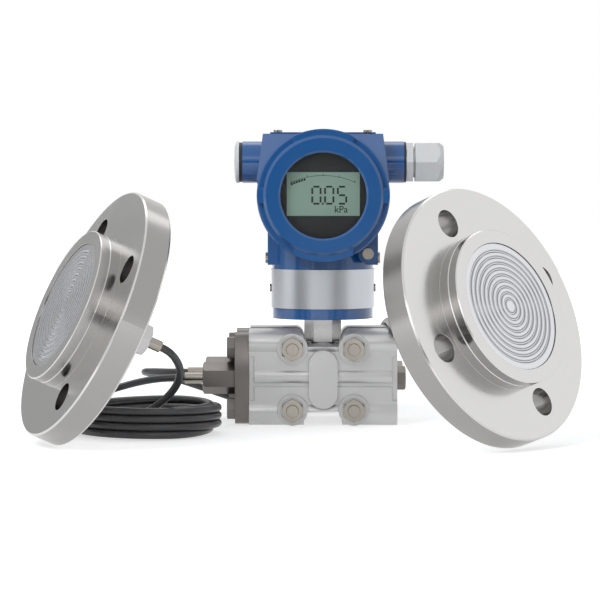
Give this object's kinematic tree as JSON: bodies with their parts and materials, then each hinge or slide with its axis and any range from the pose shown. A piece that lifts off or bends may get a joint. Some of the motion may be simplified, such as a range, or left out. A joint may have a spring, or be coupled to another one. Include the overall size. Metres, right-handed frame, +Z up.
{
  "type": "differential pressure transmitter",
  "caption": "Differential pressure transmitter with a display housing on a bolted measuring cell and two remote flanged diaphragm seals on coiled capillaries.",
  "frame": {"origin": "on the axis of the neck, midway between the two process flanges, at the level of their undersides", "axes": "+Z up along the neck, -Y towards the side that the display faces, +X towards the cable gland"},
  "size_m": [0.3579, 0.4134, 0.1996],
  "materials": {
    "blue_paint": "smooth glossy enamel on a die casting",
    "cast_steel": "fine blasted casting",
    "neck_steel": "turned",
    "bolt_steel": "bright plated",
    "band_steel": "fine brushed sheet",
    "seal_steel": "lathe turned stainless steel",
    "foil": "pressed and polished thin sheet",
    "bezel": "fine matt",
    "lcd": "flat reflective display",
    "glass": "clear polished",
    "rubber": "smooth",
    "white_plastic": "moulded",
    "black_plastic": "moulded",
    "board": "lacquered laminate",
    "sheath": "extruded jacket",
    "brass": "turned"
  },
  "bodies": {
    "transmitter": {"front_process_flange": "cast_steel", "rear_process_flange": "cast_steel", "sensor_capsule": "neck_steel", "sensor_membranes": "foil", "cell_gaskets": "rubber", "flange_bolts": "bolt_steel", "flange_nuts": "bolt_steel", "front_oval_adapter": "cast_steel", "rear_oval_adapter": "cast_steel", "adapter_rings": "rubber", "adapter_bolts": "bolt_steel", "capillary_fittings": "neck_steel", "crimp_sleeves": "bolt_steel", "vent_plugs": "neck_steel", "neck": "neck_steel", "neck_o_ring": "rubber", "left_seal_flange": "seal_steel", "left_seal_body": "seal_steel", "left_diaphragm": "foil", "right_seal_flange": "seal_steel", "right_seal_body": "seal_steel", "right_diaphragm": "foil", "seal_nuts": "neck_steel", "seal_sleeves": "bolt_steel", "front_capillary_lead": "sheath", "left_seal_lead": "sheath", "rear_capillary_lead": "sheath", "right_seal_lead": "sheath", "left_coil": "sheath", "right_coil": "sheath"},
    "housing": {"housing": "blue_paint", "label_band": "band_steel", "label_rivets": "bolt_steel", "neck_lock_screws": "bolt_steel", "ground_screw": "bolt_steel", "plate_screws": "bolt_steel", "display_module": "bezel", "display_panel": "lcd", "display_spacers": "brass", "circuit_board": "board", "terminal_block": "black_plastic", "terminal_screws": "bolt_steel", "blind_plug": "white_plastic", "blind_plug_seal": "rubber", "gland_washer": "rubber", "gland_body": "white_plastic", "gland_seal": "rubber"},
    "front_ring": {"front_cover_o_ring": "rubber"},
    "front_cover": {"front_cover": "blue_paint", "window_glass": "glass", "window_gasket": "rubber", "window_retainer": "bolt_steel"},
    "rear_ring": {"rear_cover_o_ring": "rubber"},
    "rear_cover": {"rear_cover": "blue_paint"},
    "thrust_ring": {"gland_thrust_ring": "white_plastic"},
    "gland_cap": {"gland_cap": "white_plastic"},
    "crown_plate": {"crown_plate": "blue_paint"},
    "zero_button": {"zero_button": "bolt_steel"},
    "span_button": {"span_button": "bolt_steel"}
  },
  "joints": [
    {"name": "housing_turn", "type": "hinge", "parent": "transmitter", "child": "housing", "pos_m": [0, 0, 0.0708], "axis": [0, 0, 1], "range_deg": [-90, 90]},
    {"name": "front_cover_travel", "type": "slide", "parent": "housing", "child": "front_ring", "axis": [0, -1, 0], "range_m": [0, 0.008]},
    {"name": "front_cover_turn", "type": "hinge", "parent": "front_ring", "child": "front_cover", "pos_m": [0, -0.036, 0.155], "axis": [0, -1, 0], "range_deg": [0, 1440]},
    {"name": "rear_cover_travel", "type": "slide", "parent": "housing", "child": "rear_ring", "axis": [0, 1, 0], "range_m": [0, 0.008]},
    {"name": "rear_cover_turn", "type": "hinge", "parent": "rear_ring", "child": "rear_cover", "pos_m": [0, 0.036, 0.155], "axis": [0, 1, 0], "range_deg": [0, 1440]},
    {"name": "gland_cap_travel", "type": "slide", "parent": "housing", "child": "thrust_ring", "axis": [1, 0, 0], "range_m": [0, 0.009]},
    {"name": "gland_cap_turn", "type": "hinge", "parent": "thrust_ring", "child": "gland_cap", "pos_m": [0.0558, 0.006, 0.1776], "axis": [1, 0, 0], "range_deg": [0, 2160]},
    {"name": "crown_plate_swing", "type": "hinge", "parent": "housing", "child": "crown_plate", "pos_m": [-0.0307, -0.008, 0.1968], "axis": [0, 0, 1], "range_deg": [0, 30]},
    {"name": "zero_button_press", "type": "slide", "parent": "housing", "child": "zero_button", "axis": [0, 0, -1], "range_m": [0, 0.0015], "stiffness_N_per_m": 300, "springref_m": -0.0005},
    {"name": "span_button_press", "type": "slide", "parent": "housing", "child": "span_button", "axis": [0, 0, -1], "range_m": [0, 0.0015], "stiffness_N_per_m": 300, "springref_m": -0.0005}
  ],
  "couplings": [
    {"joint": "front_cover_travel", "follows": "front_cover_turn", "m_per_rad": 0.00031831},
    {"joint": "rear_cover_travel", "follows": "rear_cover_turn", "m_per_rad": 0.00031831},
    {"joint": "gland_cap_travel", "follows": "gland_cap_turn", "m_per_rad": 0.00023873}
  ]
}
